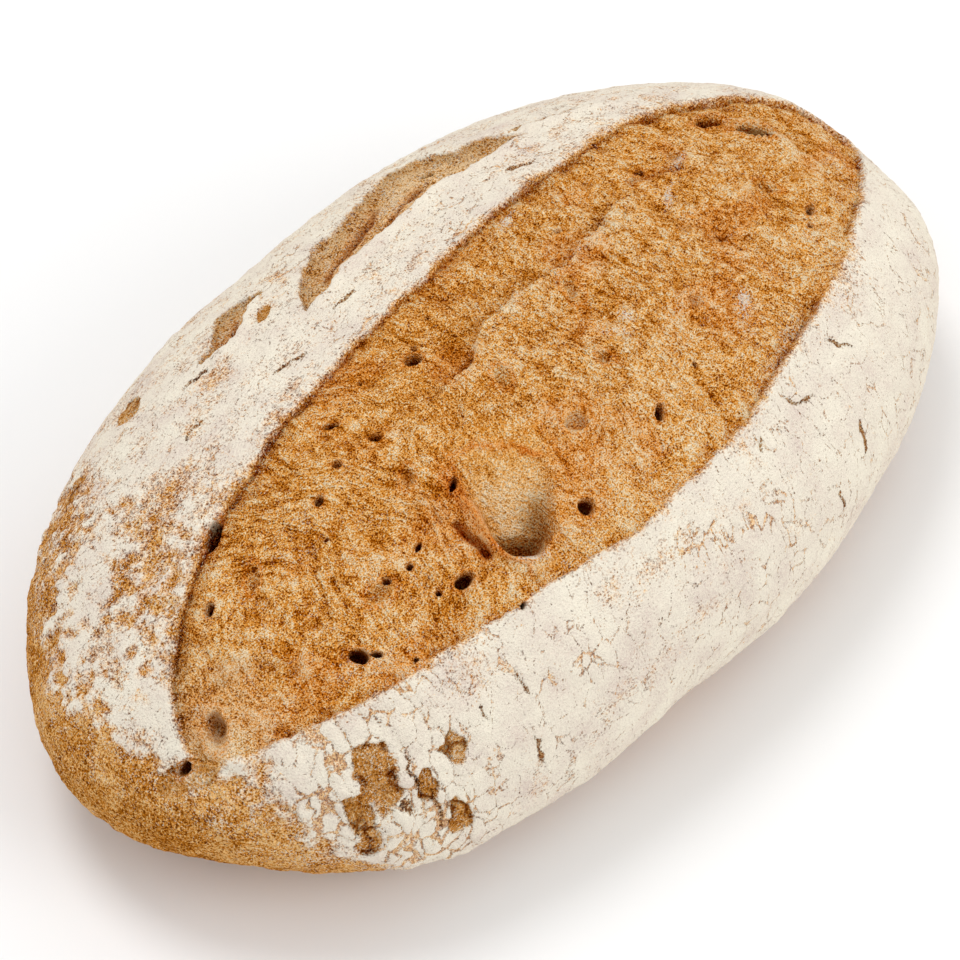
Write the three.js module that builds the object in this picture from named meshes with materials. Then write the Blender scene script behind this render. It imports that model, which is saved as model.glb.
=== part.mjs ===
// Sourdough loaf: an oval hearth loaf, baked as one solid piece and lying on its flat base.
// Its crust burst open along one long score, so a bare bloom lies between two raised lips.
// Millimetres, +Z up. The origin is the middle of the base, and +X runs along the loaf.
import * as THREE from "three";

// Driving dimensions of the whole loaf
const loafLength = 300;
const loafWidth = 178;
const loafHeight = 92;

// Where the loaf is widest, as a share of its height
const widestShare = 0.38;

// How square each outline is: 2 is an ellipse, more is boxier
const planSquareness = 2.18;
const topSquareness = 2.05;
const underSquareness = 2.5;

// The underside would round off this much deeper than the base, which cuts it flat
const underDepthShare = 1.15;

// The bloom: the bare oval that the score opened, a little aslant on the loaf
const bloomCentre = new THREE.Vector2(-1.5, -13.5);
const bloomFarLength = 148;
const bloomNearLength = 133;
const bloomSlant = THREE.MathUtils.degToRad(3.7);
const bloomLeftWidth = 40;
const bloomRightWidth = 49;

// How each quarter of the bloom narrows towards its tip
const leftFarTaper = { bluntness: 3.8, sharpness: 0.5 };
const leftNearTaper = { bluntness: 3, sharpness: 0.5 };
const rightFarTaper = { bluntness: 2.1, sharpness: 0.8 };
const rightNearTaper = { bluntness: 1.5, sharpness: 0.7 };

// Relief along the edge of the bloom
const grooveDepth = 3;
const grooveNarrowness = 7;
const lipRise = 1.5;
const lipNarrowness = 5;

// How finely the solid is divided
const segments = 80;
const bloomShares = [0.2, 0.4, 0.6, 0.78, 0.9, 1];
const flankRings = 9;
const firstFlankShare = 0.04;
const underRings = 6;
const baseInnerShare = 0.5;

const halfLength = loafLength / 2;
const halfWidth = loafWidth / 2;
const widestHeight = loafHeight * widestShare;
const topRise = loafHeight - widestHeight;
const underDepth = widestHeight * underDepthShare;

// Share of the plan that the flat base takes up, where the rounded underside reaches it
const baseShare =
  (1 - (widestHeight / underDepth) ** underSquareness) ** (1 / underSquareness);

// 0 in the middle of the plan and 1 on its outline
function planRadius(x, y) {
  const along = Math.abs(x / halfLength) ** planSquareness;
  const across = Math.abs(y / halfWidth) ** planSquareness;
  return (along + across) ** (1 / planSquareness);
}

// Height of the smooth upper crust over a point of the plan
function crustHeight(x, y) {
  const radius = Math.min(planRadius(x, y), 1);
  const curve = (1 - radius ** topSquareness) ** (1 / topSquareness);
  return widestHeight + topRise * curve;
}

// Height of the underside at a share of the plan, from the widest line to the base
function undersideHeight(share) {
  const curve = (1 - share ** underSquareness) ** (1 / underSquareness);
  return Math.max(widestHeight - underDepth * curve, 0);
}

// A point on the widest outline of the loaf
function outlineAt(angle) {
  const power = 2 / planSquareness;
  const along = Math.sign(Math.cos(angle)) * Math.abs(Math.cos(angle)) ** power;
  const across = Math.sign(Math.sin(angle)) * Math.abs(Math.sin(angle)) ** power;
  return new THREE.Vector2(halfLength * along, halfWidth * across);
}

// A point on the edge of the bloom, with the same angle as its outline point
function bloomEdgeAt(angle) {
  const isLeft = Math.sin(angle) >= 0;
  const isFar = Math.cos(angle) >= 0;
  const leftTaper = isFar ? leftFarTaper : leftNearTaper;
  const rightTaper = isFar ? rightFarTaper : rightNearTaper;
  const taper = isLeft ? leftTaper : rightTaper;
  const width = isLeft ? bloomLeftWidth : -bloomRightWidth;
  const narrowing = 1 - Math.abs(Math.cos(angle)) ** taper.bluntness;
  const along = (isFar ? bloomFarLength : bloomNearLength) * Math.cos(angle);
  const across = width * Math.max(narrowing, 0) ** taper.sharpness;
  return new THREE.Vector2(along, across)
    .rotateAround(new THREE.Vector2(), bloomSlant)
    .add(bloomCentre);
}

function ringOf(pointAt) {
  return Array.from({ length: segments }, (_, k) => pointAt((2 * Math.PI * k) / segments));
}

// The bloom sinks into a groove towards its edge
function bloomRing(share) {
  const groove = grooveDepth * share ** grooveNarrowness;
  return ringOf((angle) => {
    const { x, y } = bloomCentre.clone().lerp(bloomEdgeAt(angle), share);
    return new THREE.Vector3(x, y, crustHeight(x, y) - groove);
  });
}

// The crust starts as a raised lip and falls away to the widest line
function flankRing(share) {
  const lip = lipRise * (1 - share) ** lipNarrowness;
  return ringOf((angle) => {
    const { x, y } = bloomEdgeAt(angle).lerp(outlineAt(angle), share);
    return new THREE.Vector3(x, y, crustHeight(x, y) + lip);
  });
}

function undersideRing(share) {
  return ringOf((angle) => {
    const { x, y } = outlineAt(angle).multiplyScalar(share);
    return new THREE.Vector3(x, y, undersideHeight(share));
  });
}

// Shares that crowd together towards 1, where the flank turns steep
function easedShares(first, count) {
  return Array.from({ length: count }, (_, i) => {
    const step = i / (count - 1);
    return first + (1 - first) * Math.sin((step * Math.PI) / 2);
  });
}

// Every ring, from the top of the bloom down to the middle of the base
function loafRings() {
  const bloom = bloomShares.map(bloomRing);
  const flank = easedShares(firstFlankShare, flankRings).map(flankRing);
  const underShares = Array.from({ length: underRings }, (_, i) => {
    const turn = ((i + 1) / underRings) * (Math.PI / 2);
    return baseShare + (1 - baseShare) * Math.cos(turn);
  });
  const under = underShares.map(undersideRing);
  const base = undersideRing(baseInnerShare * baseShare);
  return [...bloom, ...flank, ...under, base];
}

// Joins the rings to each other and closes both ends on a point
function closedGeometry(topPoint, rings, bottomPoint) {
  const points = [topPoint, ...rings.flat(), bottomPoint];
  const at = (ring, k) => 1 + ring * segments + (k % segments);
  const bottom = points.length - 1;
  const faces = [];
  for (let k = 0; k < segments; k += 1) {
    faces.push(0, at(0, k), at(0, k + 1));
    for (let ring = 0; ring < rings.length - 1; ring += 1) {
      faces.push(at(ring, k), at(ring + 1, k), at(ring + 1, k + 1));
      faces.push(at(ring, k), at(ring + 1, k + 1), at(ring, k + 1));
    }
    faces.push(at(rings.length - 1, k), bottom, at(rings.length - 1, k + 1));
  }
  const geometry = new THREE.BufferGeometry().setFromPoints(points);
  geometry.setIndex(faces);
  geometry.computeVertexNormals();
  return geometry;
}

function makeLoaf() {
  const { x, y } = bloomCentre;
  const topPoint = new THREE.Vector3(x, y, crustHeight(x, y));
  const bottomPoint = new THREE.Vector3(0, 0, 0);
  const goldenCrust = new THREE.MeshStandardMaterial({
    color: 0xd2a86b,
    roughness: 0.85,
    metalness: 0,
  });
  const loaf = new THREE.Mesh(closedGeometry(topPoint, loafRings(), bottomPoint), goldenCrust);
  loaf.name = "loaf";
  return loaf;
}

const group = new THREE.Group();
group.add(makeLoaf());

export default group;
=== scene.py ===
"""Sourdough loaf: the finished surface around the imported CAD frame.

The loaf is one mesh. numpy shapes it and works out the masks that its material reads: an oval
body, the bloom that the score opened, the bloom's crease, crater and pores, the tears on the
left flank, and flour that cracks into plates.

Shapes are worked out in loaf millimetres, of which the loaf is 300 long, and one scale factor
takes them to the frame's metres. +X is the far end, +Y the left flank and +Z up.
"""

import itertools
import math

import bpy
import numpy as np
from mathutils import Matrix, Vector


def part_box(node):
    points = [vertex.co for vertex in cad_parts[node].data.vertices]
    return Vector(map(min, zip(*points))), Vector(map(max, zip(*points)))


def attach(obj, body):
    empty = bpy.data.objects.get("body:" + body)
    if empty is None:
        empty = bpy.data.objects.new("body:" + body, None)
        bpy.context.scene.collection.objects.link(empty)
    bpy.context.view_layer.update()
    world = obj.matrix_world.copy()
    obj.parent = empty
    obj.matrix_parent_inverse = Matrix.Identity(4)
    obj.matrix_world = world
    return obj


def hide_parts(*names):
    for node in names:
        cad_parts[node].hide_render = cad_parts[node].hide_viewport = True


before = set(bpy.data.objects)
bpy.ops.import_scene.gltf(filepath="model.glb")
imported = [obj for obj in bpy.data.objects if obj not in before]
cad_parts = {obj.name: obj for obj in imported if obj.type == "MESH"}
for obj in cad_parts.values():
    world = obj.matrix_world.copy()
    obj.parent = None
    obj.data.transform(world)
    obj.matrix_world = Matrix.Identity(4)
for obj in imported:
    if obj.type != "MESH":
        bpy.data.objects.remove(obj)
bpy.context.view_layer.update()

# The body, sized by the frame

LOW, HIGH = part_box("loaf")
LOAF_LENGTH = 300.0
MM = (HIGH[0] - LOW[0]) / LOAF_LENGTH
HALF_LENGTH = LOAF_LENGTH / 2
HALF_WIDTH = (HIGH[1] - LOW[1]) / MM / 2
HEIGHT = (HIGH[2] - LOW[2]) / MM

WIDEST_HEIGHT = 0.38 * HEIGHT
TOP_RISE = HEIGHT - WIDEST_HEIGHT
UNDER_DEPTH = 1.15 * WIDEST_HEIGHT

# How square each outline is: 2 is an ellipse, more is boxier
PLAN_SQUARE = 2.18
TOP_SQUARE = 2.05
UNDER_SQUARE = 2.5

# Quads along, across and up the box that is rounded into the body
GRID = (500, 300, 180)

# The bloom, aslant on top of the loaf: its middle, and how far it reaches each way from there
BLOOM_CENTRE = (-1.5, -15.3)
BLOOM_SLANT = math.radians(3.7)
BLOOM_FAR, BLOOM_NEAR = 148.0, 133.0
BLOOM_LEFT, BLOOM_RIGHT = 40.0, 49.0
BLOOM_DEPTH = 0.2

# The groove inside the bloom's edge, deeper at the near left, and the lip outside it
EDGE_DEPTH, NEAR_EDGE_DEPTH, EDGE_WIDTH = 0.6, 1.2, 3.2
LIP_HEIGHT, LEFT_LIP_HEIGHT, LIP_WIDTH = 0.5, 0.4, 5.0

# The strands of crumb in the bloom curve round this point
SWIRL = (-97.0, -16.0)

# Height, width, length and seed of each layer of strands
STRANDS = ((0.5, 5.0, 13, 43), (0.44, 2.7, 6, 44), (0.32, 1.6, 3.2, 45))

# How the loaf differs from an even oval: x, y, z, then how far it swells out there
SWELLS = (
    (133, -44, 40, 1.9),
    (145, -4, 51, -1.3),
    (140, 18, 48, 0.9),
    (105, 56, 45, -1.4),
    (-131, 48, 38, -1.2),
    (-149, 2, 26, 1.5),
    (-138, -34, 23, -2.3),
    (-94, -69, 21, 2.2),
    (-19, -86, 22, -2.5),
    (69, -80, 26, -1.4),
)
SWELL_REACH = 22

# The bottom of the crack that runs along the bloom beside its raised ridge
CREASE_X = (-30, -12, -3, 10, 27, 43, 56)
CREASE_Y = (-6, -4, 2, 0, 0, 2, 5)
CREASE_DEPTH, CREASE_WIDTH = 2.2, 0.9
RIDGE_HEIGHT, RIDGE_WIDTH = 4.2, 15.0

# x, y, length, width, turn in degrees, depth of each hole in the bloom and at its edge
PORES = (
    (-22, 8, 4.6, 3.4, -30, 7),
    (-19, 10.5, 1.3, 1.2, 0, 3),
    (-46.5, -1.4, 3.2, 2.1, -48, 5),
    (-59, 0.1, 2.6, 1.9, -30, 4),
    (-51, 10.1, 4.4, 1.6, -30, 3),
    (-43, -25.6, 4.6, 1.7, 30, 4),
    (-69.5, -3.4, 3.0, 2.2, 20, 2.5),
    (-62, -30.9, 3.4, 1.4, 20, 3),
    (-67.5, -32.9, 1.9, 1.5, 0, 3),
    (-74.2, -31.4, 2.4, 1.4, -48, 3),
    (-60.1, -44.8, 5.0, 3.2, -10, 6),
    (-66.9, -42.4, 1.6, 1.2, -48, 2.5),
    (-92.2, -38.4, 5.2, 3.0, -60, 7),
    (-88.9, -41.4, 2.8, 1.2, -48, 4),
    (-107.4, -1.1, 3.4, 2.2, 30, 3),
    (-53, -58.4, 2.2, 1.1, 10, 3),
    (-82.7, -49, 1.3, 1.0, 0, 2),
    (-22, -52.5, 4.2, 3.8, 0, 6),
    (12, -47.5, 2.4, 4.0, -48, 5),
    (99.5, -27.5, 4.4, 2.2, 30, 5),
    (94.5, -31.5, 2.0, 1.6, 0, 3),
    (113, 3.2, 12.0, 4.6, -52, 3.5),
    (106.8, 14.8, 9.0, 3.6, -19, 3),
    (72, 11, 2.6, 2.2, 0, 3),
    (62, -7, 1.4, 1.0, 0, 2),
    (-9, 15, 1.3, 1.0, 0, 2),
    (-36, 14, 1.5, 1.0, 20, 2),
    (-76, -12, 1.3, 1.0, 0, 2),
    (36, 9, 1.4, 1.0, 0, 2),
    (30, -44, 1.6, 1.1, 0, 2),
    (-137.2, -20.4, 3.6, 2.4, -20, 4),
    (-92.5, 12.4, 8.0, 2.6, 24, 4),
)

# x, y, length, width, turn in degrees, depth of each soft hollow in the bloom
HOLLOWS = (
    (-7, -35.5, 7.5, 5.0, -20, 2.6),
    (69.5, -20.5, 5.5, 3.0, -20, 1.5),
    (45.5, -31, 5.0, 3.0, -50, 1.5),
    (13, -28, 4.5, 3.0, -50, 1.4),
    (97, -14.5, 6.5, 3.0, -55, 1.4),
    (-77.5, -32, 7.0, 4.5, -20, 1.6),
    (-127, -21.5, 5.0, 8.0, -30, 5),
    (-50, -16, 6.0, 3.5, 40, 1.3),
    (-95, -4, 7.0, 3.5, 40, 1.2),
    (22, -8, 8.0, 4.5, 70, 1.2),
    (-12, -14, 6.0, 4.0, 70, 1.3),
    (85, 10, 7.0, 3.5, 70, 1.0),
)

# The crater: a scoop that starts shallow at its head and is deepest at its foot
CRATER_HEAD = (-25.5, -24.5)
CRATER_FOOT = (-42.5, -50.0)
CRATER_HEAD_WIDTH = 14.5
CRATER_FOOT_WIDTH = 8.2
CRATER_DEPTH = 10.0
CRATER_RIM_HEIGHT = 0.9

# Folds stand up along a line of x, y points, each with its height and width
FOLDS = (
    (((-121, -15), (-114, -16), (-108, -19)), 1.3, 1.3),
    (((-108, -19), (-105.5, -27), (-101, -31)), 1.2, 1.1),
    (((-130, -14), (-130.5, -20), (-131.5, -26), (-125, -35)), 1.7, 1.5),
    (((-53, -19), (-51, -26), (-51, -34)), 0.8, 1.6),
    (((-24, -15), (-14, -21), (-11, -30), (-15, -38)), 0.8, 1.6),
    (((-41, -24), (-46.5, -36), (-48.5, -45), (-45, -55), (-35, -55)), 1.5, 1.9),
    (((78, 8), (88, 2), (92, -9), (86, -20)), 0.8, 2.0),
    (((108, 10), (116, 0), (118, -12)), 0.8, 2.0),
    (((20, -20), (22, -26), (21, -33)), 0.7, 1.8),
    (((110, 11), (116, 6), (120, -1)), 1.6, 1.5),
    (((102, 18.5), (108, 17.8), (113, 15.5)), 1.2, 1.3),
)

# Thin lines baked orange: x, y points
SCORCHED = (
    ((-38.5, -19.5), (-31.5, -22.5), (-25, -28.5), (-21, -35)),
    ((-38.5, -20.5), (-42.5, -27.5), (-46.5, -36), (-48.5, -44)),
)

# Grooves sink along a line of x, y points, each with its depth and width
GROOVES = (
    (((-50.3, -32), (-51.2, -37), (-50.9, -41.5), (-50.8, -46.5)), 2.2, 1.0),
    (((84, 4), (74, 8), (64, 10)), 0.8, 1.0),
    (((-14, 50), (-2, 55), (10, 58), (24, 64)), 1.5, 0.9),
    (((12, 52), (24, 56), (36, 58)), 1.4, 0.8),
    (((-46, 58), (-38, 60), (-31, 64)), 1.4, 0.8),
)

# Tears on the left flank: points along the lower and along the upper edge, then the depth
TEARS = (
    (((-25, 44), (-18, 43.5), (-4, 48), (5, 48.5), (15, 47.5), (31, 50.5), (42, 47.5), (66, 46.5)),
     ((-25, 45), (-22, 49), (-13, 57), (-4, 62.5), (9, 64), (25, 68.5), (33, 69.5), (44, 67),
      (50, 58), (54, 60), (59, 57.5), (66, 48)), 3.2),
    (((-52, 55), (-43, 54.5), (-37, 56), (-30, 60.5), (-23, 61.5)),
     ((-52, 58), (-45, 59.5), (-39, 66), (-29, 68), (-26, 65), (-23, 63.5)), 2.6),
    (((66, 50.5), (74, 47.5), (84, 43.5), (94, 38.5)),
     ((66, 52.5), (74, 50.5), (84, 46), (94, 39.5)), 1.6),
)

# How high the rough crumb in a tear stands, and the rolled edge of crust below it
TEAR_FIBRE_HEIGHT, TEAR_LIP_HEIGHT = 0.8, 1.5

# A deeper slot inside the largest tear: x, y, length, width, turn in degrees, depth
TEAR_SLOT = (38.5, 61.5, 7, 2.2, -35, 2)

# Narrow splits in the flour, each a line of x, y points
SPLITS = (
    ((-24, 36.5), (-16, 37.3), (-10, 37.7)),
    ((45, 39.4), (52, 37), (59, 33)),
    ((-50, 34), (-41, 34), (-33, 31.6)),
    ((-77, 39.5), (-71, 41), (-64, 40.3)),
    ((-63, 55), (-57, 54), (-50, 53)),
    ((-64, -65), (-65, -69), (-65.5, -73)),
    ((-69, -76), (-69, -81)),
    ((63.7, -74), (61.3, -78.4), (59.6, -82)),
    ((45.4, -82.5), (46.8, -85.4)),
    ((31.4, -65.7), (27.5, -70.3)),
    ((-77, -64.6), (-77.2, -69.5)),
    ((-98, -66), (-97, -72)),
    ((-106, -63), (-102, -66.5)),
    ((67, -57), (72, -61), (76.7, -63.3)),
    ((43.8, -60.8), (47, -65.8), (56, -67.4)),
    ((-98, -58), (-100, -62), (-99, -67)),
)

SPLIT_DEPTH, SPLIT_WIDTH = 0.5, 0.7

# Loose flour caught in the bloom: x, y, length, width, turn in degrees
CAUGHT = (
    (31, 23, 13, 3.5, 18),
    (21, -25, 9, 3, -35),
    (27, -23, 4, 6, 20),
    (57, -39, 4, 9, -50),
    (70, -1, 12, 3, 35),
    (84, 7, 9, 3, 30),
    (-42, -52, 9, 3, -30),
)

# Where the flour ends: its reach at a given height, and how much less it is for each mm below.
# A band of crust above the base is bare all round
NEAR_REACH, NEAR_REACH_HEIGHT, NEAR_REACH_SLOPE = 137, 55, 1.17
FAR_REACH, FAR_REACH_HEIGHT, FAR_REACH_SLOPE = 156, 40, 1.0
BARE_BAND = 14

# How thick whole flour is, and how deep the cracks between its plates
FLOUR_THICKNESS, FLOUR_CRACK_DEPTH = 0.45, 0.5

# A thick tongue of flour that runs down the left flank at the near end
TONGUE = ((-88, 54), (-110, 38), (-126, 27), (-138, 22))
TONGUE_WIDTH = 5.5

# Where flour is rubbed off down to the crust: x, y, length, width, turn in degrees
RUBBED = (
    (-106, -57.5, 11, 9, -60),
    (-88, -66.5, 5.5, 4.5, -50),
    (-92, -74.6, 10.5, 3.6, -48),
    (-114, -59, 5, 8, 20),
    (-137, -22.5, 14, 5.5, -44),
    (-98, -66, 5, 5, 0),
    (-70.5, 65.7, 9, 5, 20),
    (-95, 62, 8, 3, 20),
    (-31, 53.5, 8, 3, 30),
)

# Where flour is thinner: x, y, length, width, turn in degrees, how much thinner
THIN = (
    (-10, -72, 16, 8, 0, 0.45),
    (8.5, -73.7, 18, 8, 0, 0.42),
    (27.6, -75, 16, 6, 0, 0.3),
    (29, -84, 16, 4, 0, 0.32),
    (-33, -68.6, 14, 6, 0, 0.32),
    (-15, -84, 14, 3, 0, 0.36),
    (-44, -83.5, 14, 4, 0, 0.42),
    (-72, -80, 12, 4, 0, 0.35),
    (-73, -60, 12, 10, 20, 0.32),
    (-31, 55, 16, 9, 30, 0.4),
    (-16.7, 62, 12, 6, 40, 0.3),
    (-4.5, 37.4, 9, 6, 0, 0.32),
    (6, 31.6, 10, 4, 0, 0.25),
    (-69, 42, 18, 5, 10, 0.42),
    (-52.4, 27, 22, 7, 10, 0.28),
    (-86, 19.3, 12, 6, 20, 0.34),
    (-90, 30, 24, 6, 20, 0.32),
)


# Numbers that vary smoothly, or by cell, through space. They repeat after this many units

TABLE = 32


def ease(start, end, value):
    """0 before start and 1 past end, with a smooth step between them."""
    share = np.clip((value - start) / (end - start), 0, 1)
    return share * share * (3 - 2 * share)


def bell(away, width):
    """1 at 0, fading on both sides of it over about a width."""
    return np.exp(-((away / width) ** 2))


def fade(away, width):
    """1 up to 0, then falling to about a third over each width."""
    return np.exp(-np.maximum(away, 0) / width)


def wander(points, seed):
    """Smooth noise from -1 to 1, whose features are about one unit apart."""
    table = np.random.default_rng(seed).uniform(-1, 1, (TABLE,) * 3).astype(np.float32)
    cell = np.floor(points).astype(np.int32)
    part = (points - cell).astype(np.float32)
    part = part * part * part * (part * (part * 6 - 15) + 10)
    total = np.zeros(len(points), np.float32)
    for corner in itertools.product((0, 1), repeat=3):
        at = tuple(((cell + corner) & (TABLE - 1)).T)
        weight = np.prod(np.where(corner, part, 1 - part), axis=1)
        total += table[at] * weight
    return total


def rough(points, size, layers, seed):
    """Noise whose largest features are size apart, with finer and fainter layers over it."""
    total = np.zeros(len(points), np.float32)
    for layer in range(layers):
        finer = 2.03**layer
        total += wander(points * (finer / size) + 7.3 * layer, seed + layer) / 1.9**layer
    return total


def plates(points, seed):
    """Plates about one unit across: how far inside its plate a point is, and a value per plate."""
    random = np.random.default_rng(seed)
    dots = random.random((TABLE, TABLE, TABLE, 3), np.float32)
    values = random.random((TABLE, TABLE, TABLE), np.float32)
    cell = np.floor(points).astype(np.int32)
    part = (points - cell).astype(np.float32)
    nearest = np.full(len(points), 9, np.float32)
    second = nearest.copy()
    value = np.zeros(len(points), np.float32)
    for step in itertools.product((-1, 0, 1), repeat=3):
        at = tuple(((cell + step) & (TABLE - 1)).T)
        apart = dots[at] + np.array(step, np.float32) - part
        away = np.sqrt(np.einsum("ij,ij->i", apart, apart))
        closer = away < nearest
        second = np.where(closer, nearest, np.minimum(second, away))
        value = np.where(closer, values[at], value)
        nearest = np.minimum(nearest, away)
    return second - nearest, value


# The smooth oval body


def signed_power(value, power):
    """The power of a value's size, with the sign of the value."""
    return np.sign(value) * np.abs(value) ** power


def body_point(sphere):
    """Takes points of a unit sphere to the loaf's smooth, flat-based body."""
    level = np.hypot(sphere[:, 0], sphere[:, 1])
    plan = sphere[:, :2] / np.maximum(level, 1e-9)[:, None]
    top = sphere[:, 2] > 0
    square = np.where(top, TOP_SQUARE, UNDER_SQUARE)
    reach = level ** (2 / square)
    x = HALF_LENGTH * reach * signed_power(plan[:, 0], 2 / PLAN_SQUARE)
    y = HALF_WIDTH * reach * signed_power(plan[:, 1], 2 / PLAN_SQUARE)
    rise = np.where(top, TOP_RISE, UNDER_DEPTH)
    z = WIDEST_HEIGHT + rise * signed_power(sphere[:, 2], 2 / square)
    return np.column_stack((x, y, np.maximum(z, 0)))


def box_grid():
    """The points of a box's six gridded faces, on a unit cube, with its quads and their UVs."""
    counts = np.array(GRID)
    keys, quads, places = [], [], []
    for axis, side in itertools.product(range(3), (0, 1)):
        first, second = [a for a in range(3) if a != axis]
        i, j = np.meshgrid(np.arange(counts[first] + 1), np.arange(counts[second] + 1),
                           indexing="ij")
        spot = np.zeros(i.shape + (3,), int)
        spot[..., first], spot[..., second] = i, j
        spot[..., axis] = side * counts[axis]
        key = (spot[..., 0] * (counts[1] + 1) + spot[..., 1]) * (counts[2] + 1) + spot[..., 2]
        corners = [(0, 0), (1, 0), (1, 1), (0, 1)]
        if (axis != 1) != bool(side):
            corners.reverse()
        rows, columns = counts[first], counts[second]
        quads.append(np.stack([key[a:rows + a, b:columns + b].ravel() for a, b in corners], 1))
        share = np.stack([i / rows, j / columns], -1)
        places.append(np.stack(
            [uv_place(axis, side, share[a:rows + a, b:columns + b].reshape(-1, 2))
             for a, b in corners], 1))
        keys.append(key.ravel())
    keys, quads = np.unique(np.concatenate(keys)), np.concatenate(quads)
    quads = np.searchsorted(keys, quads)
    rest, k = np.divmod(keys, counts[2] + 1)
    i, j = np.divmod(rest, counts[1] + 1)
    cube = np.column_stack((i, j, k)) / counts * 2 - 1
    return cube, quads, np.concatenate(places)


# Each face of the box has its own place on the UV map: (axis, side): left, bottom, width, height
UV_PLACES = {
    (2, 1): (0, 0, 220, 130),
    (1, 0): (0, 130, 220, 100),
    (1, 1): (0, 230, 220, 100),
    (0, 0): (220, 0, 130, 100),
    (0, 1): (220, 100, 130, 100),
    (2, 0): (220, 200, 130, 78),
}
UV_WIDTH = 350
UV_GAP = 1.5


def uv_place(axis, side, share):
    """Takes shares of the way along and across a face of the box to its place on the UV map."""
    left, bottom, width, height = UV_PLACES[axis, side]
    size = np.array((width, height)) - 2 * UV_GAP
    return (np.array((left, bottom)) + UV_GAP + share * size) / UV_WIDTH


def rounded(cube):
    """Takes the surface of the cube from -1 to 1 to the unit sphere, keeping quads even."""
    square = cube**2
    a, b = np.roll(square, -1, axis=1), np.roll(square, -2, axis=1)
    return cube * np.sqrt(1 - a / 2 - b / 2 + a * b / 3)


def surface_normals(points, quads):
    """Unit normals at the vertices, each the mean of the quads around it."""
    p = points[quads]
    across = np.cross(p[:, 2] - p[:, 0], p[:, 3] - p[:, 1])
    total = np.stack(
        [np.bincount(quads.ravel(), np.repeat(across[:, a], 4), len(points)) for a in range(3)], 1)
    return total / np.linalg.norm(total, axis=1, keepdims=True)


# The skin, shaped step by step


class Skin:
    """The body's surface, how far each point has risen from it, and the masks for its material.

    inset, tear, hole and plate are mm inside an edge, split is mm away from a split, and flow is
    mm across the strands of crumb. The other masks run from 0 to about 1.
    """

    # Three of these masks paint light and shade into the colour, as said where each is set
    MASKS = ("inset", "edge", "tear", "split", "plate", "hole", "flour", "crackle", "crumb",
             "calm", "dark", "toast", "dust", "relief", "flow")

    def __init__(self, points, normals):
        self.points = points.astype(np.float32)
        self.normals = normals
        self.x, self.y, self.z = self.points.T
        self.up = ease(0.02, 0.2, normals[:, 2])
        self.rise = np.zeros(len(points))
        for name in self.MASKS:
            setattr(self, name, np.zeros(len(points)))

    def at_least(self, name, values):
        """Raises a mask to the values where it is below them."""
        setattr(self, name, np.maximum(getattr(self, name), values))

    def oval(self, x, y, length, width, turn):
        """How far the top's points are from an oval's middle: 1 on its outline."""
        turn = math.radians(turn)
        along = (self.x - x) * math.cos(turn) + (self.y - y) * math.sin(turn)
        across = (self.y - y) * math.cos(turn) - (self.x - x) * math.sin(turn)
        away = np.hypot(along / (length / 2), across / (width / 2))
        return np.where(self.normals[:, 2] > 0, away, 99)

    def line(self, route):
        """Plan distance to the left of a line of points, and the share of the way along it."""
        route = np.array(route, float)
        steps = np.diff(route, axis=0)
        lengths = np.linalg.norm(steps, axis=1)
        ends = np.concatenate(([0], np.cumsum(lengths))) / lengths.sum()
        best = np.full(len(self.x), 1e3)
        place = np.zeros(len(self.x))
        spot = np.column_stack((self.x, self.y))
        for start, step, length, low, high in zip(route, steps, lengths, ends, ends[1:]):
            share = np.clip((spot - start) @ step / length**2, 0, 1)
            apart = spot - start - share[:, None] * step
            side = np.sign(step[0] * apart[:, 1] - step[1] * apart[:, 0])
            away = side * np.linalg.norm(apart, axis=1)
            closer = np.abs(away) < np.abs(best)
            place = np.where(closer, low + share * (high - low), place)
            best = np.where(closer, away, best)
        return np.where(self.normals[:, 2] > 0, best, 1e3), place


def bloom_margin(skin):
    """Plan distance inside the ragged edge of the bloom, in mm, and the share of left side."""
    ragged = 0.9 * rough(skin.points, 15, 3, 11) + 0.3 * wander(skin.points / 1.7, 15)
    x, y = skin.x - BLOOM_CENTRE[0], skin.y - BLOOM_CENTRE[1]
    u = x * math.cos(BLOOM_SLANT) + y * math.sin(BLOOM_SLANT) + ragged
    v = y * math.cos(BLOOM_SLANT) - x * math.sin(BLOOM_SLANT) + ragged
    left = ease(-6, 6, v)
    far = ease(-20, 20, u)
    reach = np.where(u > 0, BLOOM_FAR, BLOOM_NEAR)
    width = np.where(v > 0, BLOOM_LEFT, BLOOM_RIGHT)
    blunt = left * (3 + 0.8 * far) + (1 - left) * (1.5 + 0.6 * far)
    sharp = 1 / (left * 0.5 + (1 - left) * (0.7 + 0.1 * far))
    along, across = np.abs(u) / reach, np.abs(v) / width
    level = 1 - along**blunt - across**sharp
    slope = np.hypot(blunt * along ** (blunt - 1) / reach, sharp * across ** (sharp - 1) / width)
    margin = level / np.maximum(slope, 0.006)
    return np.where(skin.normals[:, 2] > 0.05, np.clip(margin, -40, 40), -40), left


def shape_body(skin):
    """The uneven swell of a hand-shaped loaf."""
    for x, y, z, push in SWELLS:
        away = np.linalg.norm(skin.points - np.array((x, y, z), np.float32), axis=1)
        skin.rise += push * bell(away, SWELL_REACH)
    skin.rise += 0.8 * rough(skin.points, 55, 2, 21) + 0.35 * rough(skin.points, 17, 2, 24)


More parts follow.
